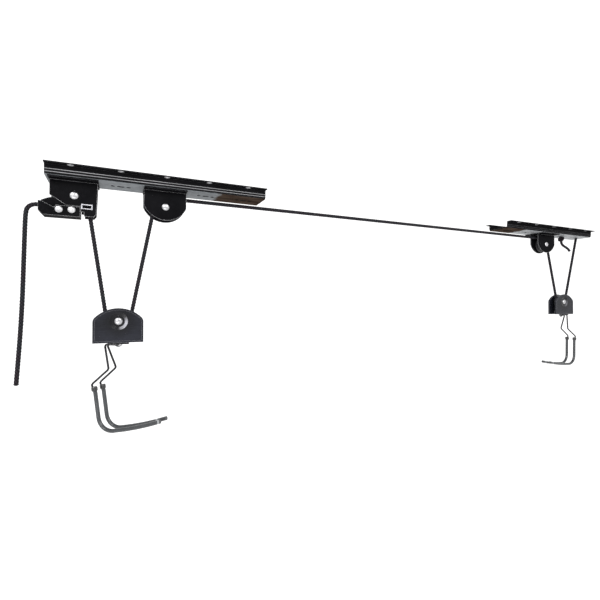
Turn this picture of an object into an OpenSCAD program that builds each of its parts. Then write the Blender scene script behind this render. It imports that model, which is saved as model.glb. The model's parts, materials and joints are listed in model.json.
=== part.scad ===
// Two-station ceiling hoist: two rails, three rope brackets, two hook blocks
// and one rope. Millimetres, +Z up, origin on the ceiling plane at the centre
// of the near rail, +X along the rails towards the far one.

/* [Rails] */
// Length of each ceiling rail (12 inches).
rail_length = 305; // [250:1:400]
// Distance between the centres of the two rails.
rail_gap = 872; // [600:1:1400]
// Overall width across the rail's two flanges.
rail_width = 66; // [60:1:80]
// Width of the rail's lower web.
web_width = 46; // [44:1:50]
// Depth of the rail from the ceiling to the underside of its web.
rail_depth = 14; // [12:0.5:18]
// Sheet thickness of the rails.
sheet = 1.5; // [1.2:0.1:2]
// Distance along the rail between its hole stations.
station = 61; // [56:1:64]

/* [Rope and wheels] */
// Radius of the rope.
rope_r = 2.5; // [2:0.1:3]
// Radius of the rope's centre line on every wheel.
pitch_r = 15; // [14:0.5:16]
// Outer radius of every wheel.
rim_r = 17.5; // [17:0.5:18]
// Radius of every wheel axle.
axle_r = 3; // [2.5:0.1:3.2]
// Running clearance of a wheel on its axle, radially.
running = 0.06; // [0.03:0.01:0.1]

/* [Brackets] */
// Thickness of the bracket and block cheeks.
cheek_t = 1.8; // [1.5:0.1:2.5]
// Distance from the middle plane to the inside of a cheek.
cheek_in = 8.2; // [8:0.1:9]
// Length of a bracket along the rail.
bracket_len = 60; // [56:1:64]

/* [Hook blocks] */
// Width of a hook block.
block_width = 66; // [60:1:70]
// Height of a hook block.
block_height = 49; // [46:1:54]
// Height of the near block's axle.
near_z = -209; // [-260:1:-180]
// Height of the far block's axle.
far_z = -178; // [-260:1:-170]

/* [Hooks] */
// Radius of the hook wire.
wire_r = 1.5; // [1.2:0.1:2]
// Radius of the vinyl sleeve on a hook.
sleeve_r = 2.9; // [2.5:0.1:3.5]
// Turn of the near hook about the vertical.
near_turn = -35; // [-40:1:40]
// Turn of the far hook about the vertical.
far_turn = 180; // [140:1:220]
// Nose-up tilt of the near hook.
near_tilt = 0; // [-5:1:5]
// Nose-up tilt of the far hook.
far_tilt = -7; // [-8:1:5]

/* [Hidden] */
$fn = 48;

flange_y = 28.75;
screw_r = 2.25;
web_hole_r = 2.8;
hole_step = 10.4;
slot_len = 10;
web_top = sheet - rail_depth;
strip_low = -rail_depth - 1;
foot_low = strip_low - 2;
cheek_out = cheek_in + cheek_t;
bolt_r = 2.5;

// Wheel centres as [x, z].
near_x = -63;
far_x = rail_gap + 68;
a = [-119, -36.5];
b = [0, -40];
c = [rail_gap, -40];
n = [near_x, near_z];
f = [far_x, far_z];
a_mid = -119;

// The block's outline: an arched top, round shoulders, straight sides.
half = block_width / 2;
above_axle = 18.5;
below_axle = block_height - above_axle;
arch_r = 42;
arch_z = above_axle - arch_r;
shoulder_r = 9;
shoulder_x = half - shoulder_r;
shoulder_z = arch_z + sqrt(pow(arch_r - shoulder_r, 2) - pow(shoulder_x, 2));
shoulder_end = atan2(shoulder_z - arch_z, shoulder_x);
// The dish pressed in round a block's axle, as distances from the middle plane.
dish_in = 6.9;
dish_floor = 8.2;
face_y = cheek_out - 0.6;

// Ring and hook, measured down from the block's axle.
ring_r = 6;
ring_wire = 1;
tab_hole_z = -23.8;
ring_top_z = -24.5;
ring_mid_z = ring_top_z - ring_r;
hook_top_z = ring_mid_z - ring_r + ring_wire + wire_r + 0.3;

// Directions and tangents in the plane of the rope.
function unit(v) = v / norm(v);
function right_of(p, q) = [q[1] - p[1], p[0] - q[0]] / norm(q - p);
function cross_normal(p, q, s) =
  let (k = 2 * pitch_r / norm(q - p))
  -s * right_of(p, q) * sqrt(1 - k * k) + unit(q - p) * k;
function turn_of(v) = atan2(v[1], v[0]);
function up3(p) = [p[0], 0, p[1]];
function arc(m, r, t0, t1, steps) =
  [for (i = [0 : steps]) let (t = t0 + (t1 - t0) * i / steps)
    [m[0] + r * cos(t), 0, m[1] + r * sin(t)]];

// Crossed tangents: fall 1 runs from wheel A to the near block, and so on.
n1 = cross_normal(a, n, 1);
n2 = cross_normal(b, n, -1);
n3 = cross_normal(c, f, 1);
fall_1 = [a + pitch_r * n1, n - pitch_r * n1];
fall_2 = [b + pitch_r * n2, n - pitch_r * n2];
fall_3 = [c + pitch_r * n3, f - pitch_r * n3];
anchor_in = [rail_gap + 2 * station + hole_step, -12];
anchor_out = [rail_gap + station + hole_step, -12];
to_anchor = anchor_in - f;
n4_turn = turn_of(to_anchor) - acos(pitch_r / norm(to_anchor));
fall_4 = [anchor_in, f + pitch_r * [cos(n4_turn), sin(n4_turn)]];

// A tube of one radius swept along a path; ends gives the end directions.
function tangent(p, i, ends) =
  i == 0 ? (len(ends) > 0 ? unit(ends[0]) : unit(p[1] - p[0]))
  : i == len(p) - 1 ? (len(ends) > 1 ? unit(ends[1]) : unit(p[i] - p[i - 1]))
  : unit(unit(p[i + 1] - p[i]) + unit(p[i] - p[i - 1]));
function side_start(t) = unit(cross(t, abs(t[2]) < 0.9 ? [0, 0, 1] : [0, 1, 0]));
function sides(p, ends, i = 0, was = [0, 0, 0]) =
  i >= len(p) ? []
  : let (t = tangent(p, i, ends), now = i == 0 ? side_start(t) : unit(was - (was * t) * t))
    concat([now], sides(p, ends, i + 1, now));

module tube(path, r, around = 10, ends = []) {
  across = sides(path, ends);
  last = len(path) - 1;
  points = [for (i = [0 : last], k = [0 : around - 1])
    let (t = tangent(path, i, ends), g = 360 * k / around)
    path[i] + r * (cos(g) * across[i] + sin(g) * cross(t, across[i]))];
  walls = [for (i = [0 : last - 1], k = [0 : around - 1], h = [0, 1])
    let (k2 = (k + 1) % around, p0 = i * around)
    h == 0 ? [p0 + k, p0 + around + k, p0 + around + k2]
    : [p0 + k, p0 + around + k2, p0 + k2]];
  first_cap = [for (k = [0 : around - 1]) k];
  last_cap = [for (k = [0 : around - 1]) last * around + around - 1 - k];
  polyhedron(points, concat(walls, [first_cap, last_cap]), convexity = 8);
}

module rope(path, ends = []) {
  color([0.16, 0.13, 0.16]) tube(path, rope_r, 10, ends);
}

// A cylinder along Y between two values of y.
module across_y(x, z, r, y0, y1) {
  translate([x, y1, z]) rotate([90, 0, 0]) cylinder(r = r, h = y1 - y0);
}

// A flat plate standing in the rope's plane, between two values of y.
module plate(outline, y0, y1) {
  translate([0, y1, 0]) rotate([90, 0, 0]) linear_extrude(y1 - y0) polygon(outline);
}

module rail(x0) {
  foot = web_width / 2 + 1.25;
  bead_r = 1.2;
  color([0.07, 0.07, 0.08]) difference() {
    union() {
      translate([x0 - rail_length / 2, 0, 0]) rotate([90, 0, 90])
        linear_extrude(rail_length) polygon([
          [-rail_width / 2, 0], [-foot + sheet, 0], [-web_width / 2 + sheet, web_top],
          [web_width / 2 - sheet, web_top], [foot - sheet, 0], [rail_width / 2, 0],
          [rail_width / 2, -sheet], [foot + 0.15, -sheet], [web_width / 2, -rail_depth],
          [-web_width / 2, -rail_depth], [-foot - 0.15, -sheet], [-rail_width / 2, -sheet]]);
      for (s = [-1, 1], z = [-8, -11.5])
        translate([x0 - rail_length / 2, s * (foot - 0.1 + z * 0.1), z])
          rotate([0, 90, 0]) cylinder(r = bead_r, h = rail_length);
    }
    for (x = [-2 : 2], s = [-1, 1])
      translate([x0 + x * station, s * flange_y, -4]) cylinder(r = screw_r, h = 6);
    station_holes(x0, -rail_depth - 1, 4);
  }
}

// The row of round holes and slots that a rail's web and its strip share.
module station_holes(x0, z, h) {
  for (x = [-2 : 2]) {
    for (s = [-1, 1])
      translate([x0 + x * station + s * hole_step, 0, z]) cylinder(r = web_hole_r, h = h);
    for (s = [-1, 1])
      translate([x0 + x * station + s * (slot_len / 2 - web_hole_r), 0, z])
        cylinder(r = web_hole_r, h = h);
    translate([x0 + x * station - slot_len / 2 + web_hole_r, -web_hole_r, z])
      cube([slot_len - 2 * web_hole_r, 2 * web_hole_r, h]);
  }
}

module strip(x0) {
  color([0.68, 0.69, 0.7]) difference() {
    translate([x0 - rail_length / 2, -web_width / 2 + 1, strip_low])
      cube([rail_length, web_width - 2, 1]);
    station_holes(x0, strip_low - 1, 3);
  }
}

// Where a bracket's two bolts pass up through the rail's web.
function bolt_spots(x0) = [x0 - hole_step, x0 + hole_step];

module foot(mid, bolts) {
  color([0.05, 0.05, 0.06]) difference() {
    translate([mid - bracket_len / 2, -web_width / 2, foot_low])
      cube([bracket_len, web_width, 2]);
    for (x = bolts) translate([x, 0, foot_low - 1]) cylinder(r = bolt_r + 0.25, h = 4);
  }
}

module cheek_a(y0) {
  color([0.05, 0.05, 0.06]) difference() {
    plate([[-148, foot_low], [-90, foot_low], [-92, -60], [-95, -64], [-107, -64],
      [-107, -58], [-111, -58], [-111, -50.7], [-128, -50.7], [-148, -38]],
      y0, y0 + cheek_t);
    across_y(a[0], a[1], axle_r + 0.05, y0 - 1, y0 + cheek_t + 1);
    if (y0 < 0) translate([-109.5, y0 - 1, -53.2]) cube([12, cheek_t + 2, 4.9]);
  }
}

// A bracket cheek with straight sides and a shallow rounded foot.
module cheek_round(mid, m, y0) {
  color([0.05, 0.05, 0.06]) difference() {
    intersection() {
      translate([mid - bracket_len / 2, y0, -70]) cube([bracket_len, cheek_t, 70 + foot_low]);
      across_y(mid, -27.5, 32.5, y0 - 1, y0 + cheek_t + 1);
    }
    across_y(m[0], m[1], axle_r + 0.05, y0 - 1, y0 + cheek_t + 1);
  }
}

// All six bracket bolts are the same M5 low-head bolt, and so are their nuts.
function all_bolts() =
  concat(bolt_spots(-2 * station), bolt_spots(0), bolt_spots(rail_gap));

module bracket_bolts() {
  color([0.55, 0.55, 0.57]) for (x = all_bolts()) {
    translate([x, 0, foot_low]) cylinder(r = bolt_r, h = 9.5);
    translate([x, 0, foot_low - 1.6]) cylinder(r = 4.3, h = 1.6);
  }
}

module bracket_nuts() {
  color([0.7, 0.7, 0.72]) for (x = all_bolts())
    difference() {
      translate([x, 0, web_top]) cylinder(r = 4.6, h = 3.6, $fn = 6);
      translate([x, 0, web_top - 1]) cylinder(r = bolt_r + 0.05, h = 6);
    }
}

// An axle: a plain shank riveted into a low dome on both sides.
module axle(m, seat) {
  head = [for (i = [0 : 6]) [5.5 * cos(15 * i), 2.5 * sin(15 * i)]];
  color([0.75, 0.75, 0.76]) {
    across_y(m[0], m[1], axle_r, -seat, seat);
    for (s = [-1, 1])
      translate([m[0], s * seat, m[1]]) rotate([-90 * s, 0, 0])
        rotate_extrude() polygon(concat([[0, 0]], head));
  }
}

// A washer on each side of a wheel, reaching out to y = seat.
module washers(m, seat) {
  color([0.6, 0.6, 0.62]) for (s = [-1, 1])
    difference() {
      across_y(m[0], m[1], 6, s > 0 ? 6.1 : -seat, s > 0 ? seat : -6.1);
      across_y(m[0], m[1], axle_r + 0.05, -10, 10);
    }
}

// A grooved wheel with a raised hub and dished sides.
module wheel(m) {
  groove = [for (i = [0 : 8]) let (t = -90 - 22.5 * i)
    [pitch_r + 3 * cos(t), 3 * sin(t)]];
  color([0.1, 0.1, 0.11]) translate([m[0], 0, m[1]]) rotate([-90, 0, 0])
    rotate_extrude() polygon(concat(
      [[axle_r + running, -5.8], [6, -5.8], [7, -4.6], [10.4, -4.6], [11.4, -5.5],
       [17, -5.5], [rim_r, -5], [rim_r, -4.2]],
      groove,
      [[rim_r, 4.2], [rim_r, 5], [17, 5.5], [11.4, 5.5], [10.4, 4.6], [7, 4.6],
       [6, 5.8], [axle_r + running, 5.8]]));
}

// The rope lock: a channel hung under bracket A, with a toothed cam inside.
cam_pin = [-137, -57];
stop_pin = [-122, -56.3];
pin_r = 2;

module lock_channel() {
  side = [[-161, -47], [-157, -47.5], [-143, -54.5], [-140, -51.5], [-111.5, -51.5],
    [-111.5, -65.5], [-156, -65.5], [-161, -60]];
  color([0.06, 0.06, 0.07]) difference() {
    plate(side, -cheek_out, cheek_out);
    plate([[-170, -40], [-100, -40], [-100, -64], [-155.4, -64], [-159.5, -59.4],
      [-170, -59.4]], -cheek_out + 1.5, cheek_out - 1.5);
    for (m = [cam_pin, stop_pin]) across_y(m[0], m[1], pin_r + 0.05, -20, 20);
  }
}

// Two inner plates carry the lock up between bracket A's cheeks.
module lock_plates() {
  side = [[-158, -46], [-151, -42.5], [-144, -40.5], [-132, -44], [-112, -50],
    [-112, -63.5], [-155.4, -63.5], [-158, -60]];
  color([0.07, 0.07, 0.08]) for (y0 = [-cheek_in, 6.6])
    difference() {
      plate(side, y0, y0 + 1.6);
      for (m = [cam_pin, stop_pin]) across_y(m[0], m[1], pin_r + 0.05, -20, 20);
    }
}

// The cam's teeth face up towards the rope.
module lock_cam() {
  teeth = [for (i = [0 : 4]) each [[-155.5 + 2.6 * i, -54.1], [-153.4 + 2.6 * i, -55.4]]];
  color([0.5, 0.5, 0.52]) difference() {
    union() {
      plate(concat([[-156.5, -56.5]], teeth,
        [[-141, -54.6], [-137, -54], [-137, -60.5], [-141, -60], [-155, -58.6]]), -3.5, 3.5);
      across_y(cam_pin[0], cam_pin[1], 4.3, -3.5, 3.5);
    }
    across_y(cam_pin[0], cam_pin[1], pin_r + running, -5, 5);
  }
}

module lock_pin(m) {
  color([0.78, 0.78, 0.79]) {
    across_y(m[0], m[1], pin_r, -cheek_out, cheek_out);
    for (s = [-1, 1])
      translate([m[0], s * cheek_out, m[1]]) rotate([-90 * s, 0, 0])
        rotate_extrude() polygon([[0, 0], [4.8, 0], [4.6, 0.8], [3.4, 1.6], [0, 2]]);
  }
}

// A short torsion spring on the cam's pin, beside the cam.
module lock_spring() {
  color([0.6, 0.6, 0.62]) {
    for (y = [4.4, 5.3, 6.1])
      translate([cam_pin[0], y, cam_pin[1]]) rotate([90, 0, 0])
        rotate_extrude() translate([2.8, 0]) circle(r = 0.4, $fn = 16);
  }
}

// A plated frame pressed into the window of bracket A's front cheek.
module guide_frame() {
  color([0.8, 0.8, 0.81]) difference() {
    union() {
      translate([-109.4, -cheek_out - 0.8, -53.1]) cube([11.8, 3.6, 4.7]);
      translate([-110.5, -cheek_out - 0.8, -54.2]) cube([14, 0.8, 6.9]);
    }
    translate([-107.6, -cheek_out - 2, -51.7]) cube([8.2, 8, 1.9]);
  }
}

// A block's outline, moved in from its edge by inset, standing from y0 to y1.
module block_outline(m, inset, y0, y1) {
  side = half - inset;
  curve = concat(
    [for (i = [0 : 5]) let (t = shoulder_end * i / 5)
      [shoulder_x + (shoulder_r - inset) * cos(t), shoulder_z + (shoulder_r - inset) * sin(t)]],
    [for (i = [1 : 7]) let (t = shoulder_end + (90 - shoulder_end) * i / 7)
      [(arch_r - inset) * cos(t), arch_z + (arch_r - inset) * sin(t)]]);
  other = [for (i = [len(curve) - 2 : -1 : 0]) [-curve[i][0], curve[i][1]]];
  corners = [[-side, inset - below_axle], [side, inset - below_axle]];
  translate([m[0], 0, m[1]]) plate(concat(curve, other, corners), y0, y1);
}

// One cheek of a block: edge turned in, face stepped, a round dish at the axle.
module block_cheek(m, s) {
  edge = s > 0 ? [cheek_in - 1.4, cheek_out] : [-cheek_out, -cheek_in + 1.4];
  hollow = s > 0 ? [cheek_in - 2, cheek_in] : [-cheek_in, -cheek_in + 2];
  step = s > 0 ? [face_y, cheek_out + 1] : [-cheek_out - 1, -face_y];
  boss = s > 0 ? [dish_in, face_y] : [-face_y, -dish_in];
  color([0.2, 0.21, 0.24]) difference() {
    union() {
      difference() {
        block_outline(m, 0, edge[0], edge[1]);
        block_outline(m, 1.8, hollow[0], hollow[1]);
      }
      across_y(m[0], m[1], 13, boss[0], boss[1]);
    }
    block_outline(m, 2.6, step[0], step[1]);
    translate([m[0], s * face_y, m[1]]) rotate([90 * s, 0, 0])
      cylinder(r1 = 12.4, r2 = 8, h = face_y - dish_floor);
    across_y(m[0], m[1], axle_r + 0.05, -20, 20);
  }
}

// The bridge between a block's cheeks, with the tab that carries the ring.
module bridge(m, turn) {
  top = m[1] - 20.5;
  low = m[1] - below_axle;
  lug = low + 3;
  color([0.05, 0.05, 0.06]) {
    translate([m[0] - 14, -6.8, top]) cube([28, 13.6, 2]);
    for (x = [-14, 8.5]) translate([m[0] + x, -6.8, lug]) cube([5.5, 13.6, top + 1 - lug]);
    translate([m[0] - 14, -6.8, low - 2.4]) cube([28, 0.8, top + 1 - low + 2.4]);
    translate([m[0] - 14, -9.5, low - 2.4]) cube([28, 3.4, 2.4]);
    translate([m[0], 0, m[1] + tab_hole_z]) rotate([0, 0, turn]) difference() {
      translate([-1, -4, -3.4]) cube([2, 8, 8]);
      rotate([0, 90, 0]) cylinder(r = 2, h = 6, center = true);
    }
  }
}

module ring(m, turn) {
  color([0.78, 0.78, 0.79])
    translate([m[0], 0, m[1] + ring_mid_z]) rotate([90, 0, turn])
      rotate_extrude() translate([ring_r, 0]) circle(r = ring_wire, $fn = 24);
}

// The hook's side profile as [forward, up] from the middle of its eye.
bend_mid = [-4, -100.9];
bend_r = 20.5;
leg_profile = [[-15.5, 0], [-18.2, -1], [-18.8, -3.4], [-10.2, -31.2], [-9.6, -33.8],
  [-11, -36], [-33.8, -55.4], [-35.2, -57.6], [-34.4, -60.2], [-30.9, -64], [-29.6, -68.4]];
// Half the distance between the two legs at each point of the leg profile.
leg_half = [2.8, 2.9, 3.1, 7.9, 8.2, 8.3, 8.9, 9, 9, 9, 9];
spread = 9;
bend = [for (i = [0 : 8]) let (t = 188.6 + 11.2 * i)
  bend_mid + bend_r * [cos(t), sin(t)]];
prong = [[17.1, -118.2], [35.2, -114.4], [53, -109.8], [69.6, -104.7]];

// One leg: from beside the eye down to the tip, on side s.
function leg(s) = concat(
  [for (i = [0 : len(leg_profile) - 1])
    [leg_profile[i][0], s * leg_half[i], leg_profile[i][1]]],
  [for (p = bend) [p[0], s * spread, p[1]]],
  [for (p = prong) [p[0], s * spread, p[1]]]);
function back(list) = [for (i = [len(list) - 1 : -1 : 0]) list[i]];
eye_r = 2.8;
eye = [for (i = [0 : 6]) let (t = -90 + 30 * i)
  [eye_r * (cos(t) - 1), eye_r * sin(t), 0]];
function sleeve(s) = concat(
  [[-31.4, s * spread, -62.2], [-29.6, s * spread, -68.4]],
  [for (p = bend) [p[0], s * spread, p[1]]],
  [for (p = prong) [p[0] + (p[0] > 60 ? 1 : 0), s * spread, p[1] + (p[0] > 60 ? 0.3 : 0)]]);

module hang(m, turn, tilt) {
  translate([m[0], 0, m[1] + hook_top_z]) rotate([0, 0, turn]) rotate([0, -tilt, 0])
    children();
}

module hook_wire(m, turn, tilt) {
  color([0.2, 0.2, 0.22]) hang(m, turn, tilt)
    tube(concat(back(leg(-1)), eye, leg(1)), wire_r, 12);
}

// Each sleeve starts in a short thick cuff.
module hook_sleeves(m, turn, tilt) {
  color([0.27, 0.28, 0.3]) hang(m, turn, tilt)
    for (s = [-1, 1]) {
      tube(sleeve(s), sleeve_r, 14);
      translate([-30.6, s * spread, -66.4]) rotate([0, -8, 0])
        rotate_extrude() polygon([[0, 0], [3.2, 0], [3.9, 0.7], [4.2, 2], [4.2, 5.2],
          [3.8, 6.4], [3, 7], [0, 7]]);
    }
}

// Rope runs. Every wheel wrap ends along the fall or span it meets.
wrap_a_end = turn_of(n1);
lead_x = a[0] - pitch_r;
lead_bend = arc([lead_x - 10, -41], 10, 0, -90, 4);
lock_exit = [-162, 0, -51];
free_route = [[-162, 0, -51], [-164, 0, -51], [-169, 0, -52.2], [-173, 0, -55.4],
  [-175.2, 0, -60.5], [-176.2, 0, -72], [-176.9, 0, -99], [-177.8, 0, -140],
  [-178.8, 0, -180], [-181, 0, -230], [-184.8, 0, -292]];

function direct(run) = up3(run[1] - run[0]);
function short_of(run, gap) = [up3(run[0]), up3(run[1]) - gap * unit(direct(run))];

module rope_free_end() {
  rope(free_route);
}

module rope_over_a() {
  over = arc(a, pitch_r, wrap_a_end, 180, 9);
  rope(concat(over, [[lead_x, 0, -38.6]], lead_bend, [[-153, 0, -51], lock_exit]),
    [-direct(fall_1), [-1, 0, 0]]);
}

module rope_fall_1() {
  rope(short_of(fall_1, 0.3));
}

module rope_near_wrap() {
  rope(arc(n, pitch_r, turn_of(-n1) + 360, 360 + turn_of(-n2), 8),
    [direct(fall_1), -direct(fall_2)]);
}

module rope_fall_2() {
  rope(short_of(fall_2, 0.3));
}

module rope_span() {
  over_b = arc(b, pitch_r, turn_of(n2), 90, 5);
  over_c = arc(c, pitch_r, 90, turn_of(n3), 5);
  rope(concat(over_b, over_c), [-direct(fall_2), direct(fall_3)]);
}

module rope_fall_3() {
  rope(short_of(fall_3, 0.3));
}

module rope_far_wrap() {
  rope(arc(f, pitch_r, turn_of(-n3) + 360, 360 + n4_turn, 8),
    [direct(fall_3), -direct(fall_4)]);
}

module rope_fall_4() {
  rope(short_of(fall_4, 0.3));
}

module rope_anchor() {
  x0 = anchor_in[0];
  x1 = anchor_out[0];
  rope([up3(anchor_in), [x0 - 0.4, 0, -10], [x0 - 2.6, 0, -8.2], [x0 - 8, 0, -7.6],
    [x0 - 30, 0, -7.8], [x1 + 8, 0, -7.6], [x1 + 2.6, 0, -8.2], [x1 + 0.4, 0, -10],
    [x1, 0, -13], [x1, 0, strip_low - 0.5]], [-direct(fall_4), [0, 0, -1]]);
}

module rope_knot() {
  color([0.16, 0.13, 0.16]) translate([anchor_out[0], 0, strip_low - 12])
    rotate_extrude() polygon([[0, 0], [3.4, 0], [5.2, 1.4], [5.8, 3.2], [5, 5.4],
      [5.8, 7.6], [5.2, 10], [3.4, 11.5], [0, 11.5]]);
}

module rope_tail() {
  x1 = anchor_out[0];
  rope([[x1, 0, strip_low - 12], [x1 + 0.6, 0, -30], [x1 + 4, 0, -34.6],
    [x1 + 11, 0, -38.4], [x1 + 19, 0, -41], [x1 + 28, 0, -45], [x1 + 34, 0, -50]],
    [[0, 0, -1]]);
}

rail(0);  // near_rail
rail(rail_gap);  // far_rail
strip(0);  // near_strip
strip(rail_gap);  // far_strip
foot(a_mid, bolt_spots(-2 * station));  // foot_a
foot(0, bolt_spots(0));  // foot_b
foot(rail_gap, bolt_spots(rail_gap));  // foot_c
cheek_a(-cheek_out);  // cheek_a_front
cheek_a(cheek_in);  // cheek_a_rear
cheek_round(0, b, -cheek_out);  // cheek_b_front
cheek_round(0, b, cheek_in);  // cheek_b_rear
cheek_round(rail_gap, c, -cheek_out);  // cheek_c_front
cheek_round(rail_gap, c, cheek_in);  // cheek_c_rear
bracket_bolts();
bracket_nuts();
axle(a, cheek_out);  // axle_a
axle(b, cheek_out);  // axle_b
axle(c, cheek_out);  // axle_c
for (m = [a, b, c]) washers(m, cheek_in);  // bracket_washers
wheel(a);  // wheel_a
wheel(b);  // wheel_b
wheel(c);  // wheel_c
lock_channel();
lock_plates();
lock_cam();
lock_pin(cam_pin);  // lock_cam_pin
lock_pin(stop_pin);  // lock_stop_pin
lock_spring();
guide_frame();
block_cheek(n, -1);  // near_block_front
block_cheek(n, 1);  // near_block_rear
axle(n, dish_floor);  // near_block_axle
washers(n, dish_in);  // near_block_washers
wheel(n);  // near_block_wheel
bridge(n, near_turn);  // near_bridge
ring(n, near_turn);  // near_ring
hook_wire(n, near_turn, near_tilt);  // near_hook_wire
hook_sleeves(n, near_turn, near_tilt);  // near_hook_sleeves
block_cheek(f, -1);  // far_block_front
block_cheek(f, 1);  // far_block_rear
axle(f, dish_floor);  // far_block_axle
washers(f, dish_in);  // far_block_washers
wheel(f);  // far_block_wheel
bridge(f, far_turn);  // far_bridge
ring(f, far_turn);  // far_ring
hook_wire(f, far_turn, far_tilt);  // far_hook_wire
hook_sleeves(f, far_turn, far_tilt);  // far_hook_sleeves
rope_free_end();
rope_over_a();
rope_fall_1();
rope_near_wrap();
rope_fall_2();
rope_span();
rope_fall_3();
rope_far_wrap();
rope_fall_4();
rope_anchor();
rope_knot();
rope_tail();
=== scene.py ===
import json
import math
import bpy
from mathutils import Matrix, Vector

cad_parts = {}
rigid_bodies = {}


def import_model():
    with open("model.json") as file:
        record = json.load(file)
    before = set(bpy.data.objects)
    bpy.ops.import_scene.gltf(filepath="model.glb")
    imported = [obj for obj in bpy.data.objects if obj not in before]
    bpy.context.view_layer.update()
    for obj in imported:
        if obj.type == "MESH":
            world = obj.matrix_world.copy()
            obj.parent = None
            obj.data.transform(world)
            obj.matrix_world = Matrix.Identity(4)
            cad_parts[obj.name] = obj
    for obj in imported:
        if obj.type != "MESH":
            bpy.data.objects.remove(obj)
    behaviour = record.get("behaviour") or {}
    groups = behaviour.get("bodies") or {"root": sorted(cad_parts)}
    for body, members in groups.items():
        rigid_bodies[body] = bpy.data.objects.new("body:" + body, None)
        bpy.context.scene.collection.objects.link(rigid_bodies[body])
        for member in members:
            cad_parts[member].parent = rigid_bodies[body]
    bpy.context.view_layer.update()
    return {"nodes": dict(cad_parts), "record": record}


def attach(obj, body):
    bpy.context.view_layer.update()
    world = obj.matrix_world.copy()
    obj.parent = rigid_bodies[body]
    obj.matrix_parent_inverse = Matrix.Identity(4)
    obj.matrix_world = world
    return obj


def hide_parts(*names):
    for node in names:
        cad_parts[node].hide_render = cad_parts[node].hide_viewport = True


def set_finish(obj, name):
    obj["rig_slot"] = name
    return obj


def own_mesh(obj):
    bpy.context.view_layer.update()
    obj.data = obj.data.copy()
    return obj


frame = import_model()
NODES = frame["nodes"]

# ---------------------------------------------------------------- camera
cam_data = bpy.data.cameras.new("camera")
cam = bpy.data.objects.new("camera", cam_data)
bpy.context.scene.collection.objects.link(cam)
bpy.context.scene.camera = cam
YAW, PITCH = math.radians(65.2), math.radians(0.72)
cam_data.sensor_width = 36
cam_data.lens = 24.06
cam_data.clip_start = 0.01
cam_data.clip_end = 100
cam.location = (-0.068, -0.634, -0.186)
looking = Vector((math.cos(YAW) * math.cos(PITCH), math.sin(YAW) * math.cos(PITCH),
                  math.sin(PITCH)))
cam.rotation_euler = looking.to_track_quat("-Z", "Y").to_euler()

# ---------------------------------------------------------------- rope route
# Metres, in the x-z plane through the middle of the rope.
GAP = 0.872        # from the near rail's middle to the far rail's
R = 0.015          # the rope's middle line on a wheel
ROPE_R = 0.0025
SPACING = 0.0012   # between the points of an arc or a smooth line
# Wheels A, B and C on the brackets, N and F in the near and far blocks, and the two holes
# where the rope enters and leaves the far rail.
A, B, C = (-0.119, -0.0365), (0.0, -0.040), (GAP, -0.040)
N, F = (-0.063, -0.209), (GAP + 0.068, -0.178)
IN, OUT = (GAP + 0.1324, -0.012), (GAP + 0.0714, -0.012)


def crossed(p, q, s):
    """The crossed tangent of two equal wheels, on side s of the line from p to q.

    Returns the direction from p's axle to the touching point, and both touching points.
    """
    dx, dz = q[0] - p[0], q[1] - p[1]
    d = math.hypot(dx, dz)
    k = 2 * R / d
    n = (-s * dz / d * math.sqrt(1 - k * k) + dx / d * k,
         s * dx / d * math.sqrt(1 - k * k) + dz / d * k)
    return n, (p[0] + R * n[0], p[1] + R * n[1]), (q[0] - R * n[0], q[1] - R * n[1])


def turn(v):
    """The angle of a direction."""
    return math.atan2(v[1], v[0])


def arc(m, r, t0, t1):
    """Points round a middle m, from one angle to another."""
    steps = max(3, int(abs(t1 - t0) * r / SPACING))
    return [(m[0] + r * math.cos(t0 + (t1 - t0) * i / steps),
             m[1] + r * math.sin(t0 + (t1 - t0) * i / steps)) for i in range(steps + 1)]


n1, a_top, n_left = crossed(A, N, 1)
n2, b_top, n_right = crossed(B, N, -1)
n3, c_top, f_left = crossed(C, F, 1)
hx, hz = IN[0] - F[0], IN[1] - F[1]
t4 = turn((hx, hz)) - math.acos(R / math.hypot(hx, hz))
f_right = (F[0] + R * math.cos(t4), F[1] + R * math.sin(t4))


def smooth(points):
    """A smooth line through points, by Catmull-Rom."""
    out = []
    for i in range(len(points) - 1):
        p0 = points[max(i - 1, 0)]
        p1, p2 = points[i], points[i + 1]
        p3 = points[min(i + 2, len(points) - 1)]
        steps = max(2, int((Vector(p2) - Vector(p1)).length / SPACING))
        for k in range(steps):
            t = k / steps
            out.append(tuple(
                0.5 * (2 * b + (c - a) * t + (2 * a - 5 * b + 4 * c - d) * t * t
                       + (3 * b - a - 3 * c + d) * t ** 3)
                for a, b, c, d in zip(p0, p1, p2, p3)))
    out.append(tuple(points[-1]))
    return out


def in_3d(points):
    """Points of the x-z plane as points of space; those of space stay as they are."""
    return [p if len(p) == 3 else (p[0], 0.0, p[1]) for p in points]


def resample(points, step):
    """Points a fixed step apart along a line."""
    points = [Vector(p) for p in points]
    total = sum((b - a).length for a, b in zip(points, points[1:]))
    count = max(2, round(total / step))
    want = [total * i / count for i in range(count + 1)]
    out, i, run = [], 0, 0.0
    for w in want:
        while i < len(points) - 2 and run + (points[i + 1] - points[i]).length < w:
            run += (points[i + 1] - points[i]).length
            i += 1
        seg = points[i + 1] - points[i]
        out.append(points[i] + seg * min(1, (w - run) / max(seg.length, 1e-9)))
    return out, total


def frames(points):
    """A direction and two sideways vectors at each point, carried along without twist."""
    out, side = [], None
    for i, p in enumerate(points):
        a, b = points[max(i - 1, 0)], points[min(i + 1, len(points) - 1)]
        t = (b - a).normalized()
        if side is None:
            side = Vector((0, 1, 0)) if abs(t.y) < 0.9 else Vector((0, 0, 1))
        side = (side - t * side.dot(t)).normalized()
        out.append((p, side.copy(), t.cross(side)))
    return out


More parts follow.
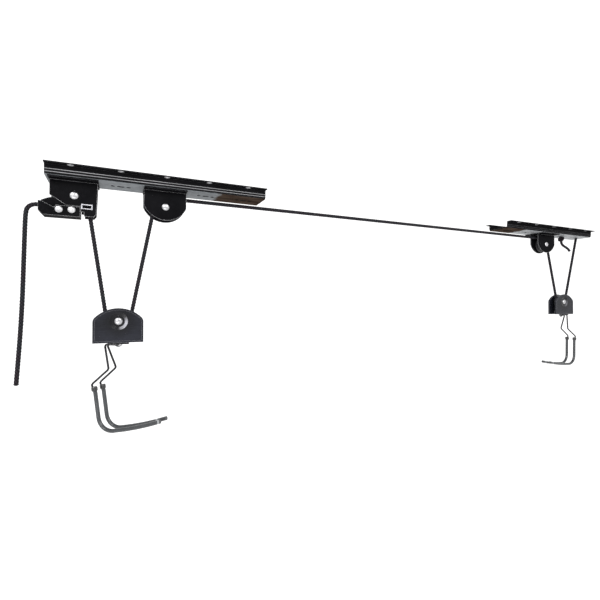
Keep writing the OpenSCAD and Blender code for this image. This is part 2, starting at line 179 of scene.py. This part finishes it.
def link(name, verts, faces, uvs=None, values=None):
    """A new smooth mesh in the scene, with a UV layer and a lift value where given."""
    mesh = bpy.data.meshes.new(name)
    mesh.from_pydata(verts, [], faces)
    mesh.update()
    for p in mesh.polygons:
        p.use_smooth = True
    if uvs:
        layer = mesh.uv_layers.new(name="uv")
        for loop in mesh.loops:
            layer.data[loop.index].uv = uvs[loop.vertex_index]
    if values:
        attribute = mesh.attributes.new("lift", "FLOAT", "POINT")
        attribute.data.foreach_set("value", values)
    obj = bpy.data.objects.new(name, mesh)
    bpy.context.scene.collection.objects.link(obj)
    return obj


STRANDS = 4        # strands that wind each way
LAY = 0.0176       # length in which a strand goes once round
BULGE = 0.0015     # from a melted cut to its widest place
MELT = 0.0012      # length over which a melted cut rounds off


def lift(turns, along):
    """Height of a braid's strands, 0 in a gap and 1 on a crown, where two sets cross."""
    one = STRANDS * (turns + along / LAY)
    two = STRANDS * (turns - along / LAY)
    i, j = math.floor(one), math.floor(two)
    over = one if (i + j) % 2 else two
    under = two if (i + j) % 2 else one
    crown = math.sin(math.pi * (over - math.floor(over)))
    roll = math.sin(math.pi * (under - math.floor(under)))
    return max(0.0, crown) ** 0.55 * (0.72 + 0.28 * max(0.0, roll))


def braided(name, path, sides=30, step=0.0007, radius=ROPE_R, melted=False):
    """A braided rope along path, its strands modelled; its last end may be a melted cut."""
    points, total = resample(path, step)
    rings = frames(points)
    verts, faces, uvs, values = [], [], [], []
    for i, (p, u, v) in enumerate(rings):
        s = total * i / (len(rings) - 1)
        shrink = 1.0
        if melted:
            left = total * (1 - i / (len(rings) - 1))
            shrink = 1.0 + 0.10 * math.exp(-((left - BULGE) / MELT) ** 2)
            if left < MELT:
                shrink *= math.sqrt(max(0.08, left / MELT))
        for k in range(sides):
            g = k / sides
            h = lift(g, s)
            r = radius * (0.78 + 0.42 * h) * shrink
            verts.append(p + r * (math.cos(2 * math.pi * g) * u + math.sin(2 * math.pi * g) * v))
            uvs.append((g, s * 64))
            values.append(h)
    n = len(rings)
    for i in range(n - 1):
        for k in range(sides):
            a, b = i * sides + k, i * sides + (k + 1) % sides
            faces.append((a, b, b + sides, a + sides))
    faces.append(tuple(range(sides - 1, -1, -1)))
    faces.append(tuple((n - 1) * sides + k for k in range(sides)))
    obj = link(name, verts, faces, uvs, values)
    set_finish(obj, "rope")
    return obj


# The free end, from the lock's mouth down to its melted cut.
FREE = [(-0.162, -0.051), (-0.164, -0.051), (-0.169, -0.0522), (-0.173, -0.0554),
        (-0.1752, -0.0605), (-0.1762, -0.072), (-0.1769, -0.099), (-0.1778, -0.140),
        (-0.1788, -0.180), (-0.181, -0.230), (-0.1848, -0.292)]
free_path = smooth(in_3d(FREE))
free_end = braided("free_rope_end", free_path, melted=True)
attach(free_end, "frame")
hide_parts("rope_free_end")


[tuple(p) for p in resample(free_path, 0.004)[0]]

# The tail below the stopper knot.
TAIL = [(OUT[0], -0.027), (OUT[0] + 0.0006, -0.030), (OUT[0] + 0.004, -0.0346),
        (OUT[0] + 0.011, -0.0384), (OUT[0] + 0.019, -0.041), (OUT[0] + 0.028, -0.045),
        (OUT[0] + 0.034, -0.050)]
tail_path = smooth(in_3d(TAIL))
tail = braided("rope_tail_end", tail_path, melted=True)
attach(tail, "frame")
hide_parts("rope_tail")
[tuple(p) for p in resample(tail_path, 0.003)[0]]


def rope_piece(name, path, body, node):
    """A braided stretch that rides on a body and stands for a plain node."""
    obj = braided(name, in_3d(path))
    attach(obj, body)
    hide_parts(node)
    return obj


over_a = (arc(A, R, turn(n1), math.pi) + [(A[0] - R, -0.041)]
          + arc((A[0] - R - 0.010, -0.041), 0.010, 0, -math.pi / 2)
          + [(-0.153, -0.051), (-0.162, -0.051)])
rope_piece("rope_over_wheel_a", over_a, "frame", "rope_over_a")
TAU = 2 * math.pi
rope_piece("rope_under_near_wheel", arc(N, R, turn((-n1[0], -n1[1])) + TAU,
           turn((-n2[0], -n2[1])) + TAU), "near_block", "rope_near_wrap")
rope_piece("rope_under_far_wheel", arc(F, R, turn((-n3[0], -n3[1])) + TAU, t4 + TAU),
           "far_block", "rope_far_wrap")
rope_piece("rope_across", arc(B, R, turn(n2), math.pi / 2) + arc(C, R, math.pi / 2, turn(n3)),
           "frame", "rope_span")
FALLS = [("rope_run_1", a_top, n_left, "rope_fall_1", "near_hoist"),
         ("rope_run_2", b_top, n_right, "rope_fall_2", "near_hoist"),
         ("rope_run_3", c_top, f_left, "rope_fall_3", "far_hoist"),
         ("rope_run_4", IN, f_right, "rope_fall_4", "far_hoist")]
for name, top, low, node, joint in FALLS:
    fall = rope_piece(name, [top, low], "frame", node)
    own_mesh(fall)
# Inside the far rail, over the web from one hole to the other.
x0, x1 = IN[0], OUT[0]
inside = [(x0, -0.012), (x0 - 0.0004, -0.010), (x0 - 0.0026, -0.0082), (x0 - 0.008, -0.0076),
          (x0 - 0.030, -0.0078), (x1 + 0.008, -0.0076), (x1 + 0.0026, -0.0082),
          (x1 + 0.0004, -0.010), (x1, -0.013), (x1, -0.0175)]
rope_piece("rope_inside_rail", smooth(in_3d(inside)), "frame", "rope_anchor")

# The stopper knot: a tight three-lobed knot with the rope in at the top and out below.
KNOT_R, KNOT_LIFT, KNOT_Z, KNOT_ROPE_R = 0.00155, 0.0033, -0.0213, 0.00235
knot = []
for i in range(121):
    t = TAU * i / 120
    knot.append((x1 + KNOT_R * (math.sin(t) + 2 * math.sin(2 * t)),
                 KNOT_R * (math.cos(t) - 2 * math.cos(2 * t)),
                 KNOT_Z - KNOT_LIFT * math.sin(3 * t)))
knot_obj = braided("stopper_knot", knot, radius=KNOT_ROPE_R)
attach(knot_obj, "frame")
core = braided("stopper_knot_core", in_3d([(x1, -0.0155), (x1, -0.0215), (x1, -0.0272)]))
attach(core, "frame")
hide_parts("rope_knot")

# ---------------------------------------------------------------- materials
# Wear, painted highlights and painted shade are placed by object coordinates, which are the
# frame's own metres at rest.
BEADS_Z = (-0.0078, -0.0113)    # heights of the painted highlight lines along a rail's two beads
BEADS_Y = 0.0236                # and their distance from the middle plane, within 1 mm
STATION = 0.061                 # spacing of the holes along a rail
FLANGE_Y = 0.02875              # row of screw holes in a flange
STRIP_LOW = -0.0150             # underside of the liner strips
DISH = (0.0080, 0.0126)         # radii between which the slope of a block's dish carries a painted highlight
FADE = 0.0008                   # width over which that painted highlight fades


class Build:
    """Small helper that adds and joins a material's nodes."""

    def __init__(self, name):
        self.mat = bpy.data.materials.new(name)
        self.mat.use_nodes = True
        self.tree = self.mat.node_tree
        self.tree.nodes.clear()
        self.out = self.add("ShaderNodeOutputMaterial")
        self.bsdf = self.add("ShaderNodeBsdfPrincipled")
        self.join(self.bsdf.outputs["BSDF"], self.out.inputs["Surface"])
        self.place = self.add("ShaderNodeTexCoord").outputs["Object"]

    def add(self, kind, **values):
        node = self.tree.nodes.new(kind)
        for key, value in values.items():
            setattr(node, key, value)
        return node

    def join(self, a, b):
        self.tree.links.new(a, b)

    def noise(self, scale, detail=4.0, rough=0.55, stretch=None, source=None):
        node = self.add("ShaderNodeTexNoise")
        node.inputs["Scale"].default_value = scale
        node.inputs["Detail"].default_value = detail
        node.inputs["Roughness"].default_value = rough
        place = source or self.place
        if stretch:
            mapping = self.add("ShaderNodeMapping")
            mapping.inputs["Scale"].default_value = stretch
            self.join(place, mapping.inputs["Vector"])
            place = mapping.outputs["Vector"]
        self.join(place, node.inputs["Vector"])
        return node.outputs["Fac"]

    def ramp(self, source, low, high, out_low=0.0, out_high=1.0):
        node = self.add("ShaderNodeMapRange")
        node.inputs["From Min"].default_value = low
        node.inputs["From Max"].default_value = high
        node.inputs["To Min"].default_value = out_low
        node.inputs["To Max"].default_value = out_high
        self.join(source, node.inputs["Value"])
        return node.outputs["Result"]

    def mix(self, amount, a, b):
        node = self.add("ShaderNodeMix", data_type="RGBA")
        self.join(amount, node.inputs[0])
        for value, socket in ((a, node.inputs[6]), (b, node.inputs[7])):
            if isinstance(value, tuple):
                socket.default_value = (*value, 1)
            else:
                self.join(value, socket)
        return node.outputs[2]

    def math(self, op, a, b=None):
        node = self.add("ShaderNodeMath", operation=op)
        for value, socket in ((a, node.inputs[0]), (b, node.inputs[1])):
            if value is None:
                continue
            if isinstance(value, (int, float)):
                socket.default_value = value
            else:
                self.join(value, socket)
        return node.outputs[0]

    def axis(self, name):
        """One coordinate of the node's own space, in metres."""
        split = self.add("ShaderNodeSeparateXYZ")
        self.join(self.place, split.inputs[0])
        return split.outputs[name]

    def near_value(self, source, middle, inner, outer):
        """1 where source is within inner of middle, fading to 0 at outer."""
        away = self.math("ABSOLUTE", self.math("SUBTRACT", source, middle))
        return self.ramp(away, inner, outer, 1.0, 0.0)

    def edges(self, radius):
        """1 along a solid's edges and 0 away from them, from how far a bevel would turn."""
        bevel = self.add("ShaderNodeBevel", samples=4)
        bevel.inputs["Radius"].default_value = radius
        plain = self.add("ShaderNodeNewGeometry")
        dot = self.add("ShaderNodeVectorMath", operation="DOT_PRODUCT")
        self.join(bevel.outputs["Normal"], dot.inputs[0])
        self.join(plain.outputs["Normal"], dot.inputs[1])
        return self.ramp(dot.outputs["Value"], 0.995, 0.90, 0.0, 1.0)

    def bump(self, height, strength, distance):
        node = self.add("ShaderNodeBump")
        node.inputs["Strength"].default_value = strength
        node.inputs["Distance"].default_value = distance
        self.join(height, node.inputs["Height"])
        self.join(node.outputs["Normal"], self.bsdf.inputs["Normal"])

    def set(self, name, value):
        if isinstance(value, (int, float)):
            self.bsdf.inputs[name].default_value = value
        elif isinstance(value, tuple):
            self.bsdf.inputs[name].default_value = (*value, 1)
        else:
            self.join(value, self.bsdf.inputs[name])


def enamel(name, dark, light, rough=(0.24, 0.40), coat=0.08, wear=0.69, chip=(0.32, 0.32, 0.33),
           edge=0.8, reach=0.0007, gloss=0.14, add_painted_highlight=None, add_painted_shade=None):
    """Sprayed enamel on steel: slow colour drift, orange-peel, scuffs, edges rubbed bare, which
    also serve as painted edge highlights; painted highlights and painted shade can be mixed in.
    """
    b = Build(name)
    slow = b.noise(22, 3)
    colour = b.mix(b.ramp(slow, 0.3, 0.7), dark, light)
    dust = b.ramp(b.noise(260, 6, 0.7), 0.52, 0.85, 0, 0.22)
    colour = b.mix(dust, colour, tuple(min(1, c * 2.0 + 0.006) for c in light))
    # painted shade: the colour darkened toward near black
    if add_painted_shade:
        colour = b.mix(add_painted_shade(b), colour, (0.0015, 0.0015, 0.002))
    chips = b.ramp(b.noise(420, 8, 0.75), wear, wear + 0.03)
    # edges rubbed bare: partly real wear, partly a painted highlight along the edges
    rubbed = b.math("MULTIPLY", b.edges(reach),
                    b.ramp(b.noise(150, 5, 0.65), 0.30, 0.62, 0.25, edge))
    bare = b.math("MAXIMUM", chips, rubbed)
    # painted highlights, mixed in like bare metal
    if add_painted_highlight:
        bare = b.math("MAXIMUM", bare, add_painted_highlight(b))
    colour = b.mix(bare, colour, chip)
    b.set("Base Color", colour)
    scuff = b.noise(60, 6, 0.7, stretch=(0.4, 3, 3))
    b.set("Roughness", b.ramp(scuff, 0.3, 0.75, *rough))
    b.set("Specular IOR Level", gloss)
    b.set("Coat Weight", coat)
    b.set("Coat Roughness", 0.16)
    peel = b.math("ADD", b.noise(900, 2), b.math("MULTIPLY", chips, -1.5))
    b.bump(peel, 0.16, 0.0002)
    return b.mat


def rail_painted_highlights(middle, bead_highlight):
    """Painted highlights on a rail: bright lines along its two beads and bright rims round its
    screw holes.
    """
    def painted_highlight_mask(b):
        height, across = b.axis("Z"), b.math("ABSOLUTE", b.axis("Y"))
        # painted highlight lines along the two beads
        beads = b.math("MAXIMUM", b.near_value(height, BEADS_Z[0], 0.0002, 0.0006),
                       b.near_value(height, BEADS_Z[1], 0.0002, 0.0006))
        beads = b.math("MULTIPLY", beads, b.near_value(across, BEADS_Y, 0.0010, 0.0012))
        beads = b.math("MULTIPLY", beads, b.ramp(
            b.noise(40, 5, 0.65, stretch=(0.35, 3, 3)), 0.32, 0.60, 0.55 * bead_highlight, bead_highlight))
        # painted glints: bright rims round the flange's screw holes
        half = STATION / 2
        along = b.math("ADD", b.math("SUBTRACT", b.axis("X"), middle - half), 10 * STATION)
        along = b.math("SUBTRACT", b.math("MODULO", along, STATION), half)
        aside = b.math("SUBTRACT", across, FLANGE_Y)
        away = b.math("SQRT", b.math("ADD", b.math("MULTIPLY", along, along),
                                     b.math("MULTIPLY", aside, aside)))
        rims = b.math("MULTIPLY", b.ramp(away, 0.0036, 0.0044, 1.0, 0.0),
                      b.ramp(b.noise(500, 4), 0.35, 0.55, 0.5, 1.0))
        return b.math("MAXIMUM", beads, rims)
    return painted_highlight_mask


def from_axle(b, middle):
    """Offsets across and up from an axle, and the distance from it."""
    across = b.math("SUBTRACT", b.axis("X"), middle[0])
    up = b.math("SUBTRACT", b.axis("Z"), middle[1])
    away = b.math("SQRT", b.math("ADD", b.math("MULTIPLY", across, across),
                                 b.math("MULTIPLY", up, up)))
    return across, up, away


def dish_painted_highlight(middle, strength):
    """A painted highlight: a crescent of bare-metal colour at the lower right of a block's dish.
    """
    def painted_highlight_mask(b):
        across, up, away = from_axle(b, middle)
        ring = b.math("MULTIPLY", b.ramp(away, DISH[0], DISH[0] + FADE),
                      b.ramp(away, DISH[1] - FADE, DISH[1], 1.0, 0.0))
        toward = b.math("DIVIDE", b.math("ADD", b.math("MULTIPLY", across, 0.88),
                                         b.math("MULTIPLY", up, -0.47)), away)
        crescent = b.math("MULTIPLY", ring, b.ramp(toward, 0.45, 1.0, 0.0, strength))
        return b.math("MULTIPLY", crescent, b.ramp(b.noise(240, 5, 0.6), 0.30, 0.55, 0.45, 1.0))
    return painted_highlight_mask


def dish_painted_shade(middle):
    """Painted shade: the enamel darkened round a block's dish."""
    def dish_shadow_mask(b):
        away = from_axle(b, middle)[2]
        return b.ramp(away, 0.0095, 0.0260, 0.85, 0.0)
    return dish_shadow_mask


def plated(name, dark, light, rough=(0.18, 0.36), grain=(1, 40, 1), stain=(0.30, 0.26, 0.2),
           brown=None, metal=1.0, shaded_recess=None):
    """Zinc plate: mottled spangle, fine grain and slight tarnish.

    brown gives the two x places between which a liner turns brown, a painted reflection; the
    walls of its holes are then dark too, a painted shadow. recess gives the middle and half
    size, in x and z, of a dark window, painted shade in the recess.
    """
    b = Build(name)
    colour = b.mix(b.ramp(b.noise(180, 3, 0.6), 0.35, 0.65), dark, light)
    tarnish = b.ramp(b.noise(75, 6, 0.7), 0.60, 0.82, 0, 0.5)
    colour = b.mix(tarnish, colour, stain)
    if brown:
        # painted reflection: the liner turns brown between the two x places
        drift = b.math("MULTIPLY", b.noise(70, 5, 0.6), 0.02)
        amount = b.ramp(b.math("ADD", b.axis("X"), drift), *brown)
        # painted shadow on the walls of the liner's holes
        painted_slot_shadow = b.math("MULTIPLY", b.ramp(b.axis("Z"), STRIP_LOW + 0.00008, STRIP_LOW + 0.0002),
                        b.ramp(b.math("ABSOLUTE", b.axis("Y")), 0.010, 0.012, 1.0, 0.0))
        reflected_brown = b.mix(b.ramp(b.noise(45, 4, stretch=(0.6, 3, 1)), 0.35, 0.65),
                      (0.026, 0.017, 0.013), (0.058, 0.042, 0.032))
        colour = b.mix(amount, colour, reflected_brown)
        colour = b.mix(painted_slot_shadow, colour, (0.006, 0.006, 0.006))
        b.set("Metallic", b.ramp(b.math("MAXIMUM", amount, painted_slot_shadow), 0, 1, metal, 0.0))
        b.set("Specular IOR Level", 0.0)
    else:
        b.set("Metallic", metal)
    # painted shade: a near black window in the recess
    if shaded_recess:
        (x, z), (half_x, half_z) = shaded_recess
        soft = 0.0003
        inside = b.math("MULTIPLY", b.near_value(b.axis("X"), x, half_x, half_x + soft),
                        b.near_value(b.axis("Z"), z, half_z, half_z + soft))
        colour = b.mix(inside, colour, (0.004, 0.004, 0.005))
    b.set("Base Color", colour)
    fine = b.noise(700, 4, 0.6, stretch=grain)
    b.set("Roughness", b.ramp(fine, 0.25, 0.75, *rough))
    b.bump(fine, 0.10, 0.0001)
    return b.mat


def vinyl(name, cuff_z, tip_x):
    """Soft dip vinyl: dark grey with a dull shine, a black cuff and a pale band by the tip."""
    b = Build(name)
    streak = b.noise(120, 5, 0.6, stretch=(2.2, 2.2, 0.5))
    colour = b.mix(b.ramp(streak, 0.3, 0.7), (0.008, 0.0095, 0.0115), (0.027, 0.031, 0.035))
    scuffs = b.ramp(b.noise(330, 7, 0.72), 0.60, 0.74, 0, 0.5)
    colour = b.mix(scuffs, colour, (0.15, 0.155, 0.16))
    cuff = b.ramp(b.axis("Z"), cuff_z - 0.0008, cuff_z)
    colour = b.mix(cuff, colour, (0.007, 0.007, 0.008))
    band = b.near_value(b.axis("X"), tip_x, 0.0006, 0.0014)
    colour = b.mix(band, colour, (0.26, 0.27, 0.28))
    b.set("Base Color", colour)
    b.set("Roughness", b.ramp(b.noise(90, 5), 0.3, 0.7, 0.24, 0.42))
    b.set("Coat Weight", 0.35)
    b.set("Coat Roughness", 0.18)
    b.bump(b.noise(1300, 3), 0.22, 0.0002)
    return b.mat


def nylon(name):
    """Black moulded nylon with a fine surface grain."""
    b = Build(name)
    colour = b.mix(b.noise(90, 4), (0.018, 0.018, 0.020), (0.045, 0.045, 0.048))
    b.set("Base Color", colour)
    b.set("Roughness", b.ramp(b.noise(200, 4), 0.3, 0.7, 0.32, 0.5))
    b.bump(b.noise(1500, 3), 0.2, 0.0002)
    return b.mat


def cord_material(name):
    """Braided polyester: dark with plum and brown fibres, with painted shade near black between
    the strands.
    """
    b = Build(name)
    uv = b.add("ShaderNodeTexCoord").outputs["UV"]
    fibre = b.noise(9, 8, 0.75, stretch=(6, 3, 1), source=uv)
    raised = b.add("ShaderNodeAttribute", attribute_name="lift").outputs["Fac"]
    slow = b.noise(60, 3)
    yarn = b.mix(b.ramp(fibre, 0.32, 0.68), (0.009, 0.006, 0.009), (0.036, 0.027, 0.034))
    yarn = b.mix(b.ramp(slow, 0.35, 0.65, 0, 0.75), yarn, (0.016, 0.022, 0.026))
    # painted shade: near black in the gaps between strands, yarn colour on their crowns
    colour = b.mix(b.ramp(raised, 0.40, 0.90), (0.0015, 0.0012, 0.0016), yarn)
    b.set("Base Color", colour)
    b.set("Roughness", b.ramp(fibre, 0.2, 0.8, 0.62, 0.85))
    b.set("Specular IOR Level", 0.1)
    b.set("Sheen Weight", 0.04)
    b.set("Sheen Roughness", 0.5)
    b.bump(b.math("ADD", b.math("MULTIPLY", fibre, 0.5), raised), 0.5, 0.0004)
    return b.mat


def block_enamel(name, middle, crescent):
    """The hook blocks' slate enamel, round the axle at middle, with a painted highlight in the
    dish and painted shade round the axle.
    """
    return enamel(name, (0.0055, 0.006, 0.009), (0.012, 0.013, 0.0195), (0.22, 0.38), 0.08,
                  chip=(0.46, 0.46, 0.50), edge=0.2, gloss=0.15,
                  add_painted_highlight=dish_painted_highlight(middle, crescent), add_painted_shade=dish_painted_shade(middle))


ALONG = (1, 30, 1)     # grain drawn out along a strip
mats = {
    # The far strip's zinc is painted lighter than the near strip's, a painted light difference
    # between copies of one plating; both brown stretches are painted reflections.
    "liner": plated("zinc liner", (0.125, 0.135, 0.144), (0.172, 0.183, 0.193), (0.36, 0.54),
                    ALONG, (0.16, 0.155, 0.15), (0.085, 0.091), 0.5),
    "liner_far": plated("zinc liner far", (0.24, 0.25, 0.26), (0.34, 0.35, 0.36), (0.36, 0.54),
                        ALONG, (0.16, 0.155, 0.15), (0.794, 0.788), 0.5),
    # The rails' bright bead lines and screw-hole rims are painted highlights; the bead lines are
    # full on the near rail and faint on the far one.
    "rail": enamel("black enamel rail", (0.0030, 0.0030, 0.0035), (0.0070, 0.0070, 0.0080),
                   coat=0.05, edge=0.3, reach=0.0003, gloss=0, add_painted_highlight=rail_painted_highlights(0.0, 1.0)),
    "rail_far": enamel("black enamel far rail", (0.0030, 0.0030, 0.0035),
                       (0.0070, 0.0070, 0.0080), coat=0.03, edge=0.4, reach=0.0003, gloss=0,
                       add_painted_highlight=rail_painted_highlights(GAP, 0.12)),
    "bracket": enamel("black enamel bracket", (0.0025, 0.0025, 0.003), (0.006, 0.006, 0.007),
                      (0.20, 0.36), coat=0.05, chip=(0.42, 0.42, 0.43), edge=0.95, reach=0.0009,
                      gloss=0),
    "wheel": nylon("moulded nylon"),
    "sleeve": vinyl("vinyl sleeve", -0.3088, -0.0130),
    "sleeve_far": vinyl("vinyl sleeve far", -0.2739, 0.8915),
    "wire": enamel("dark wire", (0.004, 0.004, 0.005), (0.012, 0.012, 0.014), (0.28, 0.45),
                   0.0, 0.66, (0.3, 0.3, 0.31), edge=0.3, gloss=0.12),
    # The dish's painted highlight is strong on the near block and faint on the far one.
    "block": block_enamel("slate enamel", N, 0.75),
    "block_far": block_enamel("slate enamel far", F, 0.25),
    # The guide's dark window is painted shade.
    "guide": plated("guide zinc", (0.30, 0.30, 0.32), (0.46, 0.46, 0.48), (0.3, 0.5),
                    shaded_recess=((-0.1035, -0.0509), (0.0053, 0.0020))),
    "foot": enamel("black enamel foot", (0.0025, 0.0025, 0.003), (0.006, 0.006, 0.007),
                   (0.20, 0.36), coat=0.05, edge=0.2, reach=0.0003, gloss=0),
    "lock_steel": plated("dull zinc", (0.30, 0.30, 0.31), (0.46, 0.46, 0.47), (0.3, 0.5)),
    "plated": plated("bright zinc", (0.36, 0.36, 0.37), (0.56, 0.56, 0.57), (0.24, 0.38)),
    "ring": plated("ring steel", (0.22, 0.22, 0.23), (0.40, 0.40, 0.41), (0.2, 0.34)),
    "rope": cord_material("braided rope"),
}
# Pieces that take another material than the one their record slot names.
LOOKS = {"far_rail": "rail_far", "far_strip": "liner_far", "far_hook_sleeves": "sleeve_far",
         "near_ring": "ring", "far_ring": "ring", "guide_frame": "guide",
         "foot_a": "foot", "foot_b": "foot", "foot_c": "foot",
         "far_block_front": "block_far", "far_block_rear": "block_far"}
slots = {s["node"]: s["material_slot"] for s in frame["record"]["subparts"]}
for node, obj in NODES.items():
    obj.data.materials.clear()
    obj.data.materials.append(mats[LOOKS.get(node, slots[node])])
for obj in bpy.context.scene.objects:
    if obj.get("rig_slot") and obj.type == "MESH" and not obj.data.materials:
        obj.data.materials.append(mats[obj["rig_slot"]])

# ---------------------------------------------------------------- floor and light
# A round studio cove: a flat floor that curves up into a wall all the way round.
CENTRE_X, CENTRE_Y = 0.4, -1.0
FLOOR_Z, DISC_R, FLAT_R, COVE_R, WALL_TOP, SPOKES = -0.75, 3.0, 5.0, 1.2, 6.5, 96
profile = [(DISC_R, FLOOR_Z), (FLAT_R, FLOOR_Z)]
profile += [(FLAT_R + COVE_R * math.sin(t), FLOOR_Z + COVE_R * (1 - math.cos(t)))
            for t in [math.pi / 2 * i / 12 for i in range(1, 13)]]
profile += [(FLAT_R + COVE_R, WALL_TOP)]
verts = [(CENTRE_X + r * math.cos(2 * math.pi * k / SPOKES),
          CENTRE_Y + r * math.sin(2 * math.pi * k / SPOKES), z)
         for r, z in profile for k in range(SPOKES)]
faces = [(i * SPOKES + k, (i + 1) * SPOKES + k,
          (i + 1) * SPOKES + (k + 1) % SPOKES, i * SPOKES + (k + 1) % SPOKES)
         for i in range(len(profile) - 1) for k in range(SPOKES)]
faces.append(tuple(range(SPOKES)))
floor = link("floor", verts, faces)
b = Build("pale floor")
b.set("Base Color", b.mix(b.noise(1.2, 4), (0.19, 0.19, 0.19), (0.21, 0.21, 0.21)))
b.set("Roughness", b.ramp(b.noise(3, 3), 0.3, 0.7, 0.7, 0.85))
b.set("Emission Color", (1.0, 1.0, 1.0))
b.set("Emission Strength", 0.98)
floor.data.materials.append(b.mat)

world = bpy.data.worlds.new("studio")
bpy.context.scene.world = world
world.use_nodes = True
background = world.node_tree.nodes["Background"]
background.inputs["Color"].default_value = (1, 1, 1, 1)
background.inputs["Strength"].default_value = 0.5
bpy.context.scene.view_settings.view_transform = "Standard"


def area(name, place, aim, size, power):
    """A soft rectangular light at place, turned toward aim."""
    data = bpy.data.lights.new(name, "AREA")
    data.shape = "RECTANGLE"
    data.size, data.size_y = size
    data.energy = power
    obj = bpy.data.objects.new(name, data)
    obj.location = place
    obj.rotation_euler = (Vector(aim) - Vector(place)).to_track_quat("-Z", "Y").to_euler()
    bpy.context.scene.collection.objects.link(obj)


area("key", (-0.9, -1.6, 0.9), (0.2, 0, -0.1), (1.2, 0.8), 26)
area("front low", (-0.3, -1.3, -0.75), (0.1, 0, -0.05), (1.0, 0.25), 8)
area("right", (0.9, -2.0, 1.1), (0.9, 0, -0.1), (0.8, 0.8), 14)
area("backdrop", (0.5, 1.2, 2.2), (0.8, 3.6, 0.6), (3, 1), 60)
